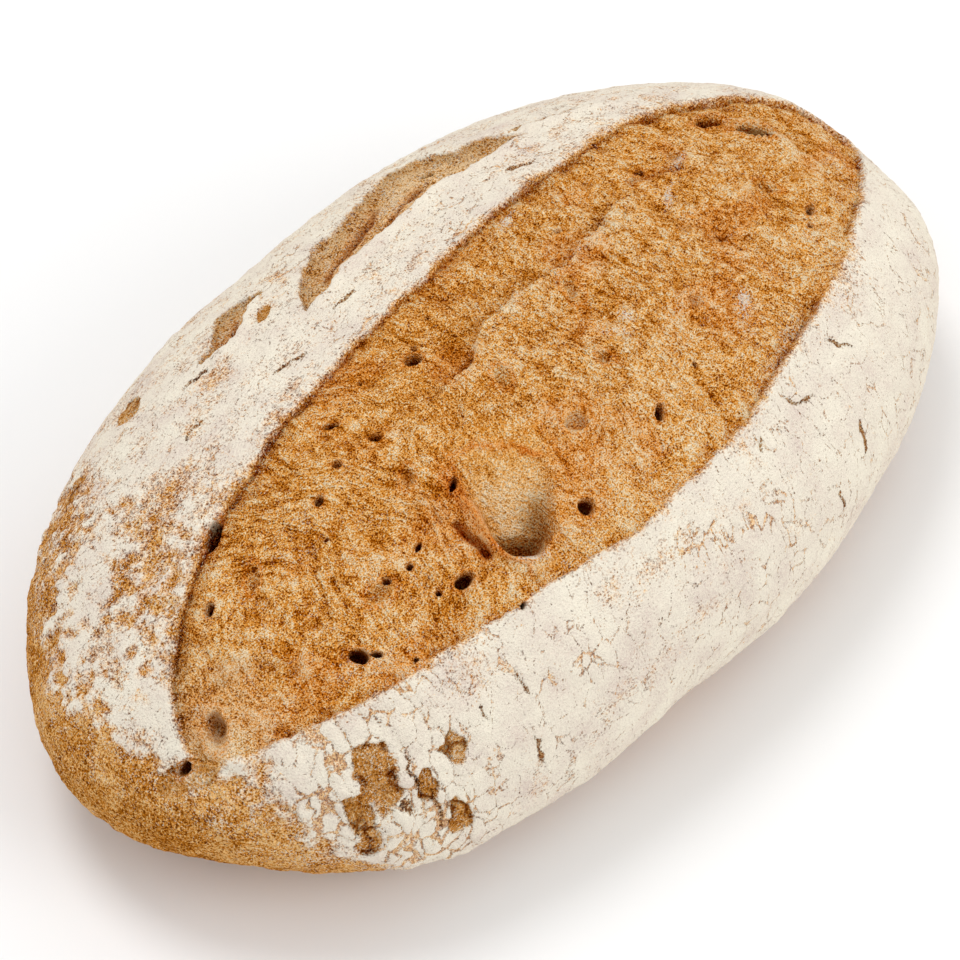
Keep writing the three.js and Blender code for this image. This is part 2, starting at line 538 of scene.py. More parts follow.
def open_bloom(skin):
    """Sinks the bloom below the crust, with a groove along its edge and a lip outside it."""
    margin, left = bloom_margin(skin)
    near = ease(-40, -80, skin.x)
    before_tip = ease(-134, -122, skin.x)
    skin.inset = np.clip(margin, -12, 12)
    skin.bloom = ease(-0.4, 0.4, margin)
    lip = fade(-margin, LIP_WIDTH) * (1 - skin.bloom)
    groove = fade(margin, EDGE_WIDTH) * skin.bloom * before_tip
    skin.rise += lip * (LIP_HEIGHT + LEFT_LIP_HEIGHT * left)
    skin.rise -= groove * (EDGE_DEPTH + NEAR_EDGE_DEPTH * near * left) + BLOOM_DEPTH * skin.bloom
    # Painted shade in the groove inside the bloom's edge: most at the near left, broken by noise
    broken = ease(-0.5, 0.5, wander(skin.points / 6, 32))
    left_edge_shade = before_tip * (0.45 + (0.3 + 0.8 * near) * (0.3 + 0.7 * broken))
    right_edge_shade = broken * (0.15 + 0.6 * ease(15, 60, skin.x))
    skin.edge = left * left_edge_shade + (1 - left) * right_edge_shade
    return margin, left


def dust_bloom(skin, margin, left):
    """Loose flour on the bloom: a film towards its right edge, and patches caught in dips."""
    near = ease(-40, -80, skin.x)
    patch = 0.5 + 0.5 * wander(skin.points / 13, 31)
    powdered = fade(margin, 12) * (1 - 0.7 * left)
    skin.dust = skin.bloom * (0.28 + 0.5 * powdered * patch + 0.2 * near * (1 - powdered))
    for spot in CAUGHT:
        skin.dust += bell(skin.oval(*spot), 1)


def strand_space(skin, width, length):
    """Space in which noise becomes strands that curve round the swirl."""
    return np.column_stack((skin.flow / width, skin.x / length, skin.y / length))


def grow_strands(skin):
    """Short strands, crumbs and lumps all over the bloom."""
    away = np.sqrt((skin.x - SWIRL[0]) ** 2 + (skin.y - SWIRL[1]) ** 2 + 200)
    skin.flow = away + 9 * rough(skin.points, 30, 2, 41) + 1.6 * wander(skin.points / 7, 42)
    strands = sum(height * wander(strand_space(skin, width, length), seed)
                  for height, width, length, seed in STRANDS)
    lumps = 1.2 * rough(skin.points, 14, 2, 46)
    crumbs = 0.42 * rough(skin.points, 2.6, 2, 49)
    # Tone that follows the height: painted light on raised bread, painted shade in its dips
    skin.relief = strands + crumbs + 0.35 * lumps
    skin.rise += skin.bloom * (strands + lumps + crumbs)
    oven = ease(0.1, 0.9, rough(skin.points, 17, 2, 47))
    skin.toast = 0.32 * oven * skin.bloom


def raise_ridge(skin):
    """A ridge where the dough tore last, with the crease along its left side."""
    jagged = 1.6 * wander(skin.points / 5, 51) + 0.7 * wander(skin.points / 1.8, 52)
    beside = skin.y - np.interp(skin.x, CREASE_X, CREASE_Y) + jagged
    ends = ease(-34, -14, skin.x) * ease(70, 50, skin.x) * skin.up
    broken = ease(-0.4, 0.3, wander(skin.points / 5, 54))
    ridge = ease(0.8, -1.2, beside) * fade(-beside, RIDGE_WIDTH)
    crease = bell(beside, CREASE_WIDTH) * broken
    # Painted light on the ridge's crest, and painted shade along the left side of the crease
    crest_light = ease(0.5, -1, beside) * fade(-beside, 7)
    shade = ease(-0.5, 0.5, beside) * fade(beside, 4)
    skin.rise += ends * (RIDGE_HEIGHT * ridge - CREASE_DEPTH * crease)
    skin.relief += ends * (1.2 * crest_light - 0.8 * shade)
    skin.split = np.minimum(np.abs(beside) + 1.2 * (1 - ends * broken), 4)
    skin.dust += ends * 0.4 * bell(beside + 1, 2.5) * ease(-20, 10, skin.x)


def lump_crumb(skin):
    """Close lumps of crumb in the middle of the bloom, with dips between them."""
    lump_edge, lump = plates(skin.points / (7.5, 5.5, 7.5), 53)
    lumpy = bell(skin.x - 42, 62) * bell(skin.y + 14, 26) * skin.bloom
    skin.rise += lumpy * (1.1 * ease(0, 0.5, lump_edge) + 0.9 * lump - 0.7)
    # Painted light on the lumps, and painted shade in the dips between them
    skin.relief += 0.9 * lumpy * (ease(0, 0.4, lump_edge) - 0.6)


def crater_place(skin):
    """Shares of the way down the crater and across half of it, and the noise of its fibres."""
    head, foot = np.array(CRATER_HEAD), np.array(CRATER_FOOT)
    step = foot - head
    length = np.linalg.norm(step)
    spot = np.column_stack((skin.x, skin.y)) - head
    along = spot @ step / length**2
    across = (spot[:, 1] * step[0] - spot[:, 0] * step[1]) / length
    across += 0.7 * wander(skin.points / 6, 61)
    width = CRATER_HEAD_WIDTH + (CRATER_FOOT_WIDTH - CRATER_HEAD_WIDTH) * np.clip(along, 0, 1)
    width = width * np.sqrt(np.clip((1.12 - along) * 4, 0.01, 1))
    fibres = wander(np.column_stack((across / 1.3, along * length / 8, skin.z / 8)), 63)
    return along, across / width, fibres


def scoop_crater(skin):
    """One big burst bubble: a pale, smooth scoop with painted shade at its foot and far wall,
    under a browned rim.
    """
    along, side, fibres = crater_place(skin)
    away = np.abs(side)
    sunk = np.clip(along, 0, 1)
    lower = ease(0.0, 0.5, along)
    inside = ease(1.08, 0.62, away) * ease(-0.3, 0.2, along) * ease(1.06, 0.97, along) * skin.up
    skin.rise = skin.rise * (1 - 0.8 * inside) - CRATER_DEPTH * inside * sunk**1.5
    # Inside, less painted light and shade, and a tone of the crater's own: paler crumb, streaks
    skin.relief = skin.relief * (1 - 0.8 * inside)
    skin.relief += inside * (0.2 + 0.5 * lower * (1 - sunk**3) + 0.4 * fibres)
    skin.calm = 0.3 * inside
    skin.at_least("crumb", 0.35 * inside * lower)
    # Painted shade at the foot and on the far wall, mottled at its edge and by the fibres
    spots = 0.5 + 0.5 * wander(skin.points / 1.6, 62)
    far_wall_shade = ease(0.0, 0.7, side) * ease(0.42, 0.8, along) * (0.5 + 0.5 * fibres)
    deep = ease(0.78, 0.94, along + 0.05 * spots)
    skin.dark = np.maximum(skin.dark * (1 - inside), inside * np.maximum(deep, far_wall_shade))
    rim = bell(away - 1.15, 0.25) * ease(0.0, 0.4, along) * ease(1.35, 1.1, along)
    foot_rim = bell(along - 1.13, 0.07) * ease(1.5, 0.8, away)
    rim = np.maximum(rim, foot_rim) * skin.up
    skin.rise += CRATER_RIM_HEIGHT * rim
    left_wall = 0.3 + 0.7 * ease(0.3, -0.6, side)
    skin.toast = np.maximum(skin.toast * (1 - inside), 0.9 * rim * left_wall)


def sink_hole(skin, hole, wall, shade):
    """One hole, whose wall takes a share of its radius, with painted shade in it. Returns mm
    inside its outline.
    """
    x, y, length, width, turn, depth = hole
    away = skin.oval(x, y, length, width, turn) + 0.12 * skin.bend
    inside = ease(1.15, 1.15 - wall, away)
    skin.rise -= depth * inside
    # Painted shade inside the hole
    skin.at_least("dark", shade * inside)
    rim = bell(away - 1.35, 0.3)
    skin.rise += 0.05 * depth * rim
    skin.at_least("toast", 0.5 * rim * (1 - shade))
    return (1 - away) * min(length, width) / 2


def punch_holes(skin):
    """Open holes, whose walls are steep, and soft hollows, with painted shade inside them."""
    skin.bend = wander(skin.points / 1.6, 71)
    skin.hole[:] = -3
    for hole in PORES:
        margin = sink_hole(skin, hole, wall=0.4, shade=0.1)
        skin.at_least("hole", np.clip(margin, -3, 3))
    for hole in HOLLOWS:
        sink_hole(skin, hole, wall=0.8, shade=0.14)


def fold_and_groove(skin):
    """Folds of crumb that stand up with painted light, and grooves that sink with painted shade in
    them and toast beside.
    """
    for route, height, width in FOLDS:
        away, place = skin.line(route)
        away += 0.5 * skin.bend
        ridge = bell(away, width) * ease(0, 0.2, place) * ease(1, 0.8, place)
        skin.rise += height * ridge
        # Painted light along the top of the fold
        skin.relief += 0.55 * height * ridge
        skin.at_least("crumb", 0.15 * ridge)
    for route, depth, width in GROOVES:
        away, place = skin.line(route)
        ends = ease(0, 0.15, place) * ease(1, 0.85, place)
        groove = bell(away, width) * ends
        skin.rise -= depth * groove
        # Painted shade inside the groove
        skin.at_least("dark", 0.3 * depth * groove)
        beside = bell(away, 2.5 * width) * ends
        skin.at_least("toast", 0.35 * depth * beside)


def scorch_lines(skin):
    """Raised lines round the crater, baked orange where the noise doesn't break them."""
    for route in SCORCHED:
        away, _ = skin.line(route)
        line = bell(away + 0.8 * skin.bend, 1.2)
        line *= 0.45 + 0.55 * ease(-0.4, 0.4, wander(skin.points / 5, 77))
        skin.at_least("toast", line)
        skin.rise += 0.4 * line


def age_near_tip(skin):
    """Paler, greener bread where the bloom runs out at the near end."""
    near = ease(-104, -128, skin.x + 5 * wander(skin.points / 9, 75))
    skin.at_least("crumb", 0.5 * near * skin.bloom)


def bare_ends(skin):
    """How far past the flour a point is, in mm, at the near end, the far end and low down."""
    x, y, z = skin.points.T
    broken = 5 * rough(skin.points, 22, 3, 81)
    tip = 18 * bell(x + 124, 12) * bell(y + 36, 12) - 7 * ease(-45, -60, y)
    near = -x - NEAR_REACH - 6 * ease(-12, 0, y) + 0.75 * np.maximum(y - 22, 0)
    near += NEAR_REACH_SLOPE * (NEAR_REACH_HEIGHT - z) + tip + broken
    far = x - FAR_REACH + FAR_REACH_SLOPE * (FAR_REACH_HEIGHT - z) + broken
    low = BARE_BAND - z + 0.6 * broken
    return near, far, low


def flour_streaks(skin):
    """Noise drawn out along the loaf, from about -1.7 to 1.7."""
    return wander(skin.points / (15, 4, 4), 91) + 0.7 * wander(skin.points / (7, 2, 2), 92)


def rubbed_share(skin):
    """1 in the ragged patches where flour is rubbed off."""
    ragged = 0.3 * rough(skin.points, 3.4, 3, 94)
    rubbed = np.zeros(len(skin.x))
    for patch in RUBBED:
        rubbed = np.maximum(rubbed, ease(1.2, 0.9, skin.oval(*patch) + ragged))
    return rubbed


def lay_flour(skin, margin):
    """How thickly flour lies on the crust: over 1 where it covers, about 0.5 where it breaks."""
    near_bare, far_bare, low_bare = bare_ends(skin)
    cover = ease(13, -12, near_bare) * ease(7, -7, far_bare) * ease(6, -5, low_bare)
    left = ease(-5, 15, skin.y)
    flour = 1.2 - 0.22 * left - 0.24 * ease(0.1, 0.8, rough(skin.points, 26, 3, 88))
    streaks = flour_streaks(skin)
    flour += left * 0.12 * streaks
    worn = ease(-82, -112, skin.x) * ease(-12, 6, skin.y)
    flour -= worn * (1 - 0.9 * fade(-margin, 6)) * (0.44 + 0.22 * streaks)
    tongue, _ = skin.line(TONGUE)
    flour += (0.5 + 0.15 * streaks) * bell(tongue, TONGUE_WIDTH) * worn
    for *patch, loss in THIN:
        flour -= 0.8 * loss * bell(skin.oval(*patch), 1)
    flour -= 0.55 * fade(-margin, 1.1)
    patchy = 0.4 - 0.4 * worn + 0.6 * wander(skin.points / 8, 93)
    flour -= 0.26 * fade(-margin, 3.5) * patchy
    skin.rubbed = rubbed_share(skin)
    flour -= 1.2 * skin.rubbed
    clumps = rough(skin.points, 3.0, 3, 95)
    uneven = 4 * cover * (1 - cover) + worn
    skin.flour = np.clip(flour, -0.2, 1.3) * cover + (0.1 + 0.08 * cover + 0.28 * uneven) * clumps
    skin.at_least("dust", 0.72 * (1 - skin.bloom) * ease(55, 5, near_bare) * (skin.z > 8))
    skin.chunky = ease(-72, -100, skin.x) * ease(-30, -48, skin.y) * cover
    raise_flour(skin, clumps)


def raise_flour(skin, clumps):
    """The thickness of the flour, most of all in the chunky plates at the near right."""
    thickness = ease(0.3, 0.8, skin.flour) * (1 - skin.bloom)
    puffs = rough(skin.points, 5, 3, 97)
    chunks = skin.chunky * (0.5 + 0.4 * puffs)
    skin.rise += thickness * (FLOUR_THICKNESS + 0.2 * puffs + chunks)
    skin.rise += (1 - skin.bloom) * 0.16 * clumps


def bare_rubbed(skin):
    """Bread that is smoother and looks older where flour is rubbed off."""
    for mask, share in (("crumb", 0.3), ("dark", 0.08), ("calm", 0.4)):
        skin.at_least(mask, share * skin.rubbed)


def crack_flour(skin):
    """Cracks the flour into plates: down the right flank, and along the left one."""
    bent = skin.points + 1.1 * np.stack([wander(skin.points / 3, 131 + a) for a in range(3)], 1)
    down, height = plates(bent / (3.8, 7.5, 7.5), 134)
    along, _ = plates(bent / (9, 3.6, 3.6), 135)
    skin.plate = np.minimum(np.where(skin.y > 0, along, down) * 3.6, 2)
    patches = ease(-0.2, 0.6, rough(skin.points, 26, 2, 98))
    gaps = ease(-0.35, 0.35, wander(skin.points / 6, 137))
    skin.crackle = np.maximum((0.08 + 0.42 * patches) * gaps, skin.chunky * (0.3 + 0.7 * gaps))
    skin.crackle *= (1 - skin.bloom) * (1 - 0.65 * ease(0, 90, skin.x))
    skin.rise -= FLOUR_CRACK_DEPTH * bell(skin.plate, 0.5) * skin.crackle
    # Painted shade in the cracks between plates where flour is rubbed off
    skin.at_least("dark", bell(skin.plate, 0.45) * gaps * skin.rubbed)
    skin.rise += 0.6 * skin.chunky * height


def tear_flank(skin):
    """Short openings in the left flank, bready inside, under the edge of the crust above."""
    jagged = 0.8 * wander(skin.points / 4, 101) + 0.4 * wander(skin.points / 1.7, 102)
    fibres = wander(skin.points / (8, 2.6, 2.6), 103)
    fibres += 0.7 * rough(skin.points, 3.4, 2, 104)
    skin.tear[:] = -6
    for lower, upper, depth in TEARS:
        low = np.interp(skin.x, *zip(*lower)) + jagged
        high = np.interp(skin.x, *zip(*upper)) + jagged
        ends = np.minimum(skin.x - lower[0][0], lower[-1][0] - skin.x)
        margin = np.minimum(np.minimum(skin.y - low, high - skin.y), ends)
        margin = np.where(skin.normals[:, 2] > 0, margin, -6)
        inside = ease(-0.4, 0.8, margin)
        skin.at_least("tear", np.clip(margin, -6, 6))
        skin.rise -= depth * (0.5 * inside + 0.5 * ease(0, 4, margin))
        below = skin.y - low
        lip = bell(below + 1.8, 2.4) * ease(-5, -0.2, margin) * (1 - inside)
        skin.rise += TEAR_LIP_HEIGHT * lip * ease(-1, 3, ends)
        skin.flour += 0.5 * lip
        # Painted shade under the tear's upper edge, mottled by the fibres
        under = fade(high - skin.y, 2.6) * inside
        skin.at_least("dark", (0.22 + 0.2 * fibres) * under)
        skin.rise += TEAR_FIBRE_HEIGHT * inside * fibres
        # Inside the tear, painted light on the raised fibres and painted shade between them
        skin.relief = np.where(inside > 0.5, 0.7 + 1.1 * fibres, skin.relief)
    *slot, slot_depth = TEAR_SLOT
    away = skin.oval(*slot)
    skin.rise -= slot_depth * ease(1.2, 0.6, away)
    skin.at_least("hole", np.clip(1.1 * (1 - away), -3, 3))


def split_flour(skin):
    """Narrow splits whose one side stands a little higher, thinning out towards both ends."""
    jagged = 0.7 * wander(skin.points / 2.8, 111) + 0.4 * wander(skin.points / 1.2, 112)
    for route in SPLITS:
        away, place = skin.line(route)
        away = away + jagged
        ends = ease(-0.02, 0.3, place) * ease(1.02, 0.7, place)
        skin.rise += SPLIT_DEPTH * fade(np.abs(away), 2) * (away > 0) * ends
        skin.rise -= SPLIT_DEPTH * bell(away, SPLIT_WIDTH) * ends
        away = np.abs(np.clip(away, -4, 4)) + 0.9 * (1 - ends)
        skin.split = np.minimum(skin.split, away)


def roughen_crust(skin):
    """Grain and soft puckers on crust that has no flour."""
    bare = ease(0.7, 0.2, skin.flour) * (1 - skin.bloom)
    grain = rough(skin.points, 2.4, 2, 121)
    skin.rise += bare * (0.22 * grain + 0.35 * rough(skin.points, 8, 2, 125))
    # Painted light and shade that follow the grain, on crust outside the bloom and tears
    skin.relief += (1 - skin.bloom) * ease(0, -0.5, skin.tear) * 0.3 * grain


def shape_skin(skin):
    """Takes every step in turn, and gives the shaped points. The base stays flat."""
    shape_body(skin)
    margin, left = open_bloom(skin)
    dust_bloom(skin, margin, left)
    grow_strands(skin)
    raise_ridge(skin)
    lump_crumb(skin)
    punch_holes(skin)
    fold_and_groove(skin)
    scoop_crater(skin)
    scorch_lines(skin)
    age_near_tip(skin)
    lay_flour(skin, margin)
    bare_rubbed(skin)
    crack_flour(skin)
    tear_flank(skin)
    split_flour(skin)
    roughen_crust(skin)
    off_base = ease(0.0, 5.0, skin.z)
    points = skin.points + (skin.normals.T * skin.rise * off_base).T
    points[:, 2] = np.maximum(points[:, 2], 0)
    return points


def make_mesh(name, points, quads, places, masks):
    """A smooth mesh in metres, with its UV map and one attribute for each mask."""
    mesh = bpy.data.meshes.new(name)
    mesh.vertices.add(len(points))
    mesh.vertices.foreach_set("co", (points * MM).astype(np.float32).ravel())
    mesh.loops.add(quads.size)
    mesh.loops.foreach_set("vertex_index", quads.astype(np.int32).ravel())
    mesh.polygons.add(len(quads))
    mesh.polygons.foreach_set("loop_start", np.arange(0, quads.size, 4, dtype=np.int32))
    mesh.update(calc_edges=True)
    mesh.shade_smooth()
    uv_map = mesh.uv_layers.new(name="OFBake")
    uv_map.uv.foreach_set("vector", places.astype(np.float32).ravel())
    for mask, values in masks.items():
        layer = mesh.attributes.new(mask, "FLOAT", "POINT")
        layer.data.foreach_set("value", values.astype(np.float32))
    return mesh


# Materials


def colour(code):
    """Linear colour from the six hexadecimal digits of an sRGB one."""
    parts = [int(code[i:i + 2], 16) / 255 for i in (0, 2, 4)]
    return [p / 12.92 if p <= 0.04045 else ((p + 0.055) / 1.055) ** 2.4 for p in parts] + [1]


# Colours of bread, and of flour, from the darkest dip of the grain to its palest tip
BAKED_CRUMB = (
    (0.0, "702E00"), (0.14, "A04D00"), (0.35, "CC7814"), (0.5, "E4963A"), (0.65, "F4AE58"),
    (0.86, "FFCF8A"), (1.0, "FFE6BE"))
PALE_CRUMB = (
    (0.0, "7A4208"), (0.14, "A2692A"), (0.35, "D0964A"), (0.5, "E6B26A"), (0.65, "F4C88C"),
    (0.86, "FCE4C0"))
BARE_CRUST = (
    (0.0, "7E400A"), (0.14, "9C5610"), (0.35, "BC741C"), (0.5, "D08836"), (0.65, "E29E50"),
    (0.86, "F6C480"))
FLOUR = ((0.2, "D8C8BC"), (0.45, "E6DCCC"), (0.75, "EFE8D6"))

# What toasted bread is multiplied by, and the colours of fine dust and of loose flour
TOAST = "F4B45C"
FINE_DUST, LOOSE_FLOUR = "F6E2C4", "F6EAD8"

# How deep the grain is that only shading shows, in mm
GRAIN_DEPTH = 0.36


class Shader:
    """Short ways to add nodes to one material. A value may be a number or a socket."""

    def __init__(self, name):
        self.material = bpy.data.materials.new(name)
        self.material.use_nodes = True
        self.tree = self.material.node_tree
        self.surface = self.tree.nodes["Principled BSDF"]
        self.place = self.add("TexCoord").outputs["Object"]

    def put(self, socket, value):
        """Links a socket to a socket, or gives it a plain value."""
        if isinstance(value, bpy.types.NodeSocket):
            self.tree.links.new(value, socket)
        else:
            socket.default_value = value

    def add(self, kind, *values, **settings):
        """A new node with the given settings, and with values in its first sockets."""
        node = self.tree.nodes.new("ShaderNode" + kind)
        for name, setting in settings.items():
            setattr(node, name, setting)
        for socket, value in zip(node.inputs, values):
            self.put(socket, value)
        return node

    def mask(self, name):
        """One of the masks that the mesh carries."""
        return self.add("Attribute", attribute_name=name).outputs["Fac"]

    def math(self, operation, *values):
        return self.add("Math", *values, operation=operation).outputs[0]

    def times(self, first, second):
        return self.math("MULTIPLY", first, second)

    def total(self, *parts):
        """The sum of the parts, each a value or a pair of a value and its weight."""
        values = [self.times(*part) if isinstance(part, tuple) else part for part in parts]
        sum_so_far = values[0]
        for value in values[1:]:
            sum_so_far = self.math("ADD", sum_so_far, value)
        return sum_so_far

    def span(self, value, start, end, low=0.0, high=1.0):
        """Takes start..end to low..high, smoothly and without going past either."""
        return self.add("MapRange", value, start, end, low, high,
                        interpolation_type="SMOOTHSTEP").outputs[0]

    def noise(self, size, detail=2.0, place=None, roughness=0.5):
        """Noise from about -1 to 1 with features size mm apart."""
        node = self.add("TexNoise", place or self.place)
        node.inputs["Scale"].default_value = 1 / (size * (MM if place is None else 1))
        node.inputs["Detail"].default_value = detail
        node.inputs["Roughness"].default_value = roughness
        return self.add("MapRange", node.outputs["Fac"], 0.25, 0.75, -1, 1, clamp=False).outputs[0]

    def strands(self, width, length):
        """Space in which noise becomes strands that curve round the bloom's swirl."""
        x, y, z = self.add("SeparateXYZ", self.place).outputs
        flow = self.math("MULTIPLY_ADD", z, 1 / MM, self.mask("flow"))
        return self.add(
            "CombineXYZ", self.times(flow, 1 / width), self.times(x, 1 / (length * MM)),
            self.times(y, 1 / (length * MM))).outputs[0]

    def distance_along(self, axis):
        """How far along one axis a point lies, in mm."""
        return self.times(self.add("SeparateXYZ", self.place).outputs[axis], 1 / MM)

    def mix_values(self, share, first, second):
        """The first value where share is 0, the second where it is 1."""
        node = self.add("Mix", clamp_factor=True)
        for name, entry in zip(("Factor", "A", "B"), (share, first, second)):
            self.put(next(s for s in node.inputs if s.name == name and s.type == "VALUE"), entry)
        return node.outputs[0]

    def mix(self, share, first, second, blend="MIX"):
        """Colours: first where share is 0, second where it is 1."""
        node = self.add("Mix", data_type="RGBA", blend_type=blend, clamp_factor=True)
        self.put(node.inputs["Factor"], share)
        colours = [socket for socket in node.inputs if socket.type == "RGBA"]
        self.put(colours[0], first)
        self.put(colours[1], second)
        return next(socket for socket in node.outputs if socket.type == "RGBA")

    def ramp(self, value, *stops):
        """A colour for each value, from (value, colour) stops."""
        node = self.add("ValToRGB", value)
        elements = node.color_ramp.elements
        while len(elements) < len(stops):
            elements.new(0.5)
        for element, (position, code) in zip(elements, stops):
            element.position = position
            element.color = colour(code)
        return node.outputs[0]

    def paint_shade(self, first, amount):
        """Painted shade: darker and richer colours, as in a crevice, where amount is above 0."""
        richer = self.add("Gamma", first, self.math("MULTIPLY_ADD", amount, 0.55, 1.0))
        darker = self.add("VectorMath", richer.outputs[0], operation="SCALE")
        light = self.math("DIVIDE", 1.0, self.math("MULTIPLY_ADD", amount, 0.8, 1.0))
        self.put(darker.inputs["Scale"], light)
        return darker.outputs[0]

    def bump(self, height, depth):
        """Raises the shading by height, where 1 is depth mm."""
        node = self.add("Bump")
        node.inputs["Distance"].default_value = depth * MM
        self.put(node.inputs["Height"], height)
        return node.outputs[0]


def strand_grain(shader):
    """The bloom's grain, from about -1 to 1: fine specks, then strands at two sizes."""
    fine = shader.noise(0.45, 1, roughness=0.6)
    short = shader.noise(1, 1, shader.strands(1.25, 1.8), 0.6)
    long = shader.noise(1, 1, shader.strands(1.25, 3.2), 0.6)
    near = shader.span(shader.distance_along("X"), 10, -60, 0, 1.15)
    middle = shader.mix_values(near, short, long)
    broad = shader.noise(1, 1, shader.strands(3.0, 6.5))
    return fine, middle, broad


def plain_grain(shader):
    """Bread grain that runs no particular way, at three sizes."""
    fine = shader.noise(0.55, 1, roughness=0.6)
    middle = shader.noise(1.15, 1, roughness=0.6)
    broad = shader.noise(4.5, 1)
    return fine, middle, broad


def grain_tone(shader, grain, cloud):
    """One tone from 0, the darkest dip, to 1, the palest tip, with painted light and shade in it.
    """
    fine, middle, broad = grain
    busy = shader.total((fine, 0.57), (middle, 0.3), (broad, 0.17))
    calmed = shader.math("SUBTRACT", 1.0, shader.mask("calm"))
    far = shader.span(shader.distance_along("X"), -90, 60, 0, 0.075)
    right = shader.span(shader.distance_along("Y"), 0, -40, 0, 0.07)
    return shader.total(
        (busy, calmed), (cloud, 0.1), (shader.mask("relief"), 0.19), far, right, 0.537)


def bread_colour(shader, bloom, torn, strands, plain):
    """Baked crumb in the bloom, paler crumb in tears, crust elsewhere, and toast over them."""
    cloud = shader.noise(10, 2)
    strand_tone = grain_tone(shader, strands, cloud)
    plain_tone = grain_tone(shader, plain, cloud)
    crust = shader.ramp(plain_tone, *BARE_CRUST)
    baked = shader.ramp(strand_tone, *BAKED_CRUMB)
    pale = shader.ramp(shader.mix_values(bloom, plain_tone, strand_tone), *PALE_CRUMB)
    paler = shader.math("MAXIMUM", shader.mask("crumb"), shader.times(torn, 0.5))
    bread = shader.mix(paler, shader.mix(bloom, crust, baked), pale)
    return shader.mix(shader.times(shader.mask("toast"), 0.85), bread, colour(TOAST), "MULTIPLY")


def paint_edge_shade(shader, bread, bloom, grain):
    """Bread with painted shade that deepens into the groove along the edge of the bloom."""
    inset = shader.total(shader.mask("inset"), (grain, 0.6))
    shade = shader.span(inset, 0.5, 6, 0.25, 0)
    line = shader.span(inset, 0.2, 1.3, 1.4, 0)
    groove_shade = shader.times(shader.math("MAXIMUM", shade, line), shader.mask("edge"))
    return shader.paint_shade(bread, shader.times(groove_shade, bloom))


def dust(shader, bread):
    """Bread with specks of loose flour caught on it."""
    specks = shader.noise(0.6, 2, roughness=0.7)
    clouds = shader.noise(6, 2)
    level = shader.total((shader.mask("dust"), 0.85), (clouds, 0.28), specks)
    caught = shader.span(shader.mask("dust"), 0.5, 0.9)
    powder = shader.mix(caught, colour(FINE_DUST), colour(LOOSE_FLOUR))
    return shader.mix(shader.span(level, 0.88, 1.1, 0, 0.85), bread, powder)


def flour_cracks(shader, specks):
    """1 on the fine broken cracks between the plates of flour, and on the longer splits."""
    plate = shader.total(shader.mask("plate"), (shader.mask("crackle"), -0.34), (specks, 0.12))
    fine = shader.span(plate, -0.1, 0.12, 1, 0)
    split = shader.span(shader.total(shader.mask("split"), (specks, 0.2)), 0.1, 0.45, 1, 0)
    return fine, split


def flour_share(shader, bloom, torn, specks, cracks):
    """How much of the crust the flour hides."""
    fine = shader.noise(1.3, 2, roughness=0.6)
    pits = shader.span(shader.noise(0.8, 1, roughness=0.6), 0.2, 0.9)
    pitted = shader.span(shader.noise(9, 2), -0.3, 0.7, 0.1, 0.42)
    amount = shader.total(
        shader.mask("flour"), (fine, 0.2), (specks, 0.22), (shader.times(pits, pitted), -1))
    film = shader.span(amount, 0.2, 0.95, 0, 0.97)
    outside = shader.math("SUBTRACT", 1.0, shader.math("MAXIMUM", bloom, torn))
    whole = shader.math("SUBTRACT", 1.0, shader.times(cracks, 0.75))
    return shader.times(shader.times(film, outside), whole)


def flour_colour(shader, specks):
    """Off-white flour, a little greyer in clouds and specks."""
    return shader.ramp(shader.total((specks, 0.16), (shader.noise(11, 2), 0.22), 0.5), *FLOUR)


def darken_dips(shader, skin, split, specks):
    """The skin with painted shade in its hollows, cracks and splits, and darker where flour is
    rubbed off.
    """
    hole = shader.span(shader.total(shader.mask("hole"), (specks, 0.15)), -0.1, 0.3)
    amount = shader.total((shader.mask("dark"), 2.2), (split, 1.1), (hole, 2.8))
    return shader.paint_shade(skin, amount)


def grain_height(shader, bloom, share, strands, plain, cracks):
    """Height of the grain: bread's, or that of flour, with cracks between its plates."""
    bread = shader.mix_values(
        bloom, shader.total(plain[0], plain[1]), shader.total(strands[0], strands[1]))
    powder = shader.total((plain[0], 0.3), (cracks, -1.2))
    return shader.mix_values(share, bread, powder)


def loaf_material():
    """Matte bread, and flour over it."""
    shader = Shader("floured_crust")
    strands, plain = strand_grain(shader), plain_grain(shader)
    specks, middle, _ = plain
    bloom = shader.span(shader.total(shader.mask("inset"), (middle, 0.4)), -0.2, 0.25)
    torn = shader.span(shader.total(shader.mask("tear"), (middle, 0.4)), -0.3, 0.4)
    bread = bread_colour(shader, bloom, torn, strands, plain)
    bread = dust(shader, paint_edge_shade(shader, bread, bloom, middle))
    fine_cracks, split = flour_cracks(shader, specks)
    cracks = shader.math("MAXIMUM", fine_cracks, split)
    share = flour_share(shader, bloom, torn, specks, cracks)
    skin = shader.mix(share, bread, flour_colour(shader, specks))
    shader.put(shader.surface.inputs["Base Color"], darken_dips(shader, skin, split, specks))
    shader.put(shader.surface.inputs["Roughness"], shader.span(share, 0, 0.8, 0.6, 0.95))
    shader.surface.inputs["Specular IOR Level"].default_value = 0
    height = grain_height(shader, bloom, share, strands, plain, cracks)
    shader.put(shader.surface.inputs["Normal"], shader.bump(height, GRAIN_DEPTH))
    return shader.material


# The loaf, the floor, the lights and the camera


def make_loaf():
    """The one visible piece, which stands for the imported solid."""
    cube, quads, places = box_grid()
    points = body_point(rounded(cube))
    skin = Skin(points, surface_normals(points, quads))
    shaped = shape_skin(skin)
    masks = {name: getattr(skin, name) for name in Skin.MASKS}
    mesh = make_mesh("loaf_crust", shaped, quads, places, masks)
    mesh.materials.append(loaf_material())
    loaf = bpy.data.objects.new("loaf_crust", mesh)
    bpy.context.collection.objects.link(loaf)
    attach(loaf, "root")
    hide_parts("loaf")


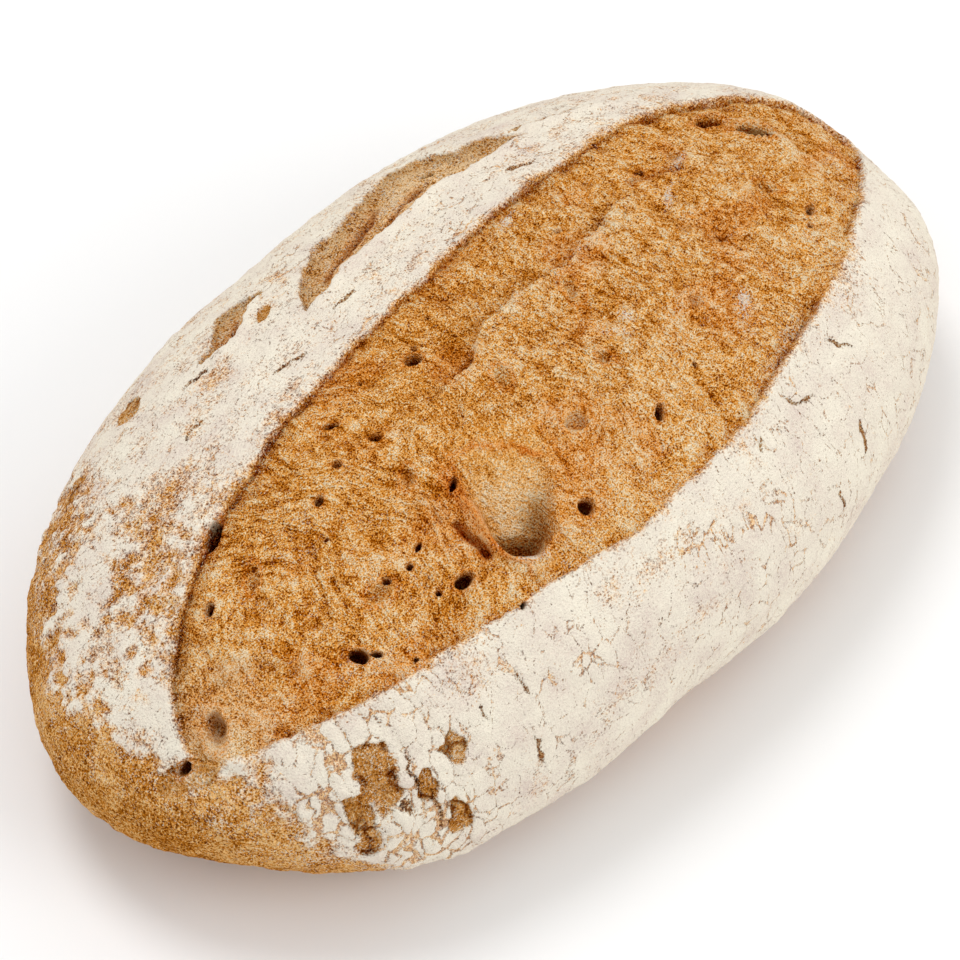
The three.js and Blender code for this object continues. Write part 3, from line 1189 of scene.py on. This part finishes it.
# Half the floor's width, in loaf lengths, and how pale it is
FLOOR_REACH = 40
FLOOR_GREY = 0.9


def make_floor():
    """A plain pale floor, large enough to fill every view."""
    half = FLOOR_REACH * LOAF_LENGTH * MM
    mesh = bpy.data.meshes.new("floor")
    corners = [(-half, -half, 0), (half, -half, 0), (half, half, 0), (-half, half, 0)]
    mesh.from_pydata(corners, [], [(0, 1, 2, 3)])
    shader = Shader("pale_floor")
    shader.surface.inputs["Base Color"].default_value = (FLOOR_GREY, FLOOR_GREY, FLOOR_GREY, 1)
    shader.surface.inputs["Roughness"].default_value = 0.9
    mesh.materials.append(shader.material)
    floor = bpy.data.objects.new("floor", mesh)
    bpy.context.collection.objects.link(floor)


def pointed_at(position, target):
    """A placement at position whose -Z axis looks at target."""
    turn = (Vector(target) - Vector(position)).to_track_quat("-Z", "Y")
    return Matrix.Translation(position) @ turn.to_matrix().to_4x4()


# Each light: its name, its place and diameter in metres, and its power in watts
LIGHTS = (
    ("softbox", (0.1, 0.9, 2.3), 1.0, 18.5),
    ("fill", (0.6, -1.9, 1.4), 1.4, 14.5),
)
ROOM_LIGHT = 0.78


def make_light(name, position, size, power):
    """A round area light that points at the middle of the loaf."""
    light = bpy.data.lights.new(name, "AREA")
    light.shape = "DISK"
    light.size = size
    light.energy = power
    lamp = bpy.data.objects.new(name, light)
    lamp.matrix_world = pointed_at(position, (0, 0, HEIGHT * MM / 2))
    bpy.context.collection.objects.link(lamp)


def light_studio():
    """A softbox overhead and a weaker light opposite, in a white room."""
    world = bpy.data.worlds.new("white_room")
    world.use_nodes = True
    background = world.node_tree.nodes["Background"]
    background.inputs["Color"].default_value = (1, 1, 1, 1)
    background.inputs["Strength"].default_value = ROOM_LIGHT
    bpy.context.scene.world = world
    for light in LIGHTS:
        make_light(*light)
    bpy.context.scene.view_settings.view_transform = "Standard"


# The camera's direction from the loaf, its distance and lens, and the point it aims at: a height
# over the base, then how far right and up of that
AZIMUTH = math.radians(-47.8)
ELEVATION = math.radians(52)
DISTANCE = 1100
LENS = 152
AIM_HEIGHT = 40
AIM_RIGHT, AIM_UP = -3.2, -8.7


def make_camera():
    """A still camera that looks down past the near end and the right flank."""
    back = Vector((math.sin(AZIMUTH) * math.cos(ELEVATION),
                   -math.cos(AZIMUTH) * math.cos(ELEVATION), math.sin(ELEVATION)))
    right = Vector((math.cos(AZIMUTH), math.sin(AZIMUTH), 0))
    up = back.cross(right)
    aim = Vector((0, 0, AIM_HEIGHT)) + right * AIM_RIGHT + up * AIM_UP
    data = bpy.data.cameras.new("camera")
    data.lens = LENS
    camera = bpy.data.objects.new("camera", data)
    camera.matrix_world = pointed_at((aim + back * DISTANCE) * MM, aim * MM)
    bpy.context.collection.objects.link(camera)
    bpy.context.scene.camera = camera


make_camera()
light_studio()
make_floor()
make_loaf()
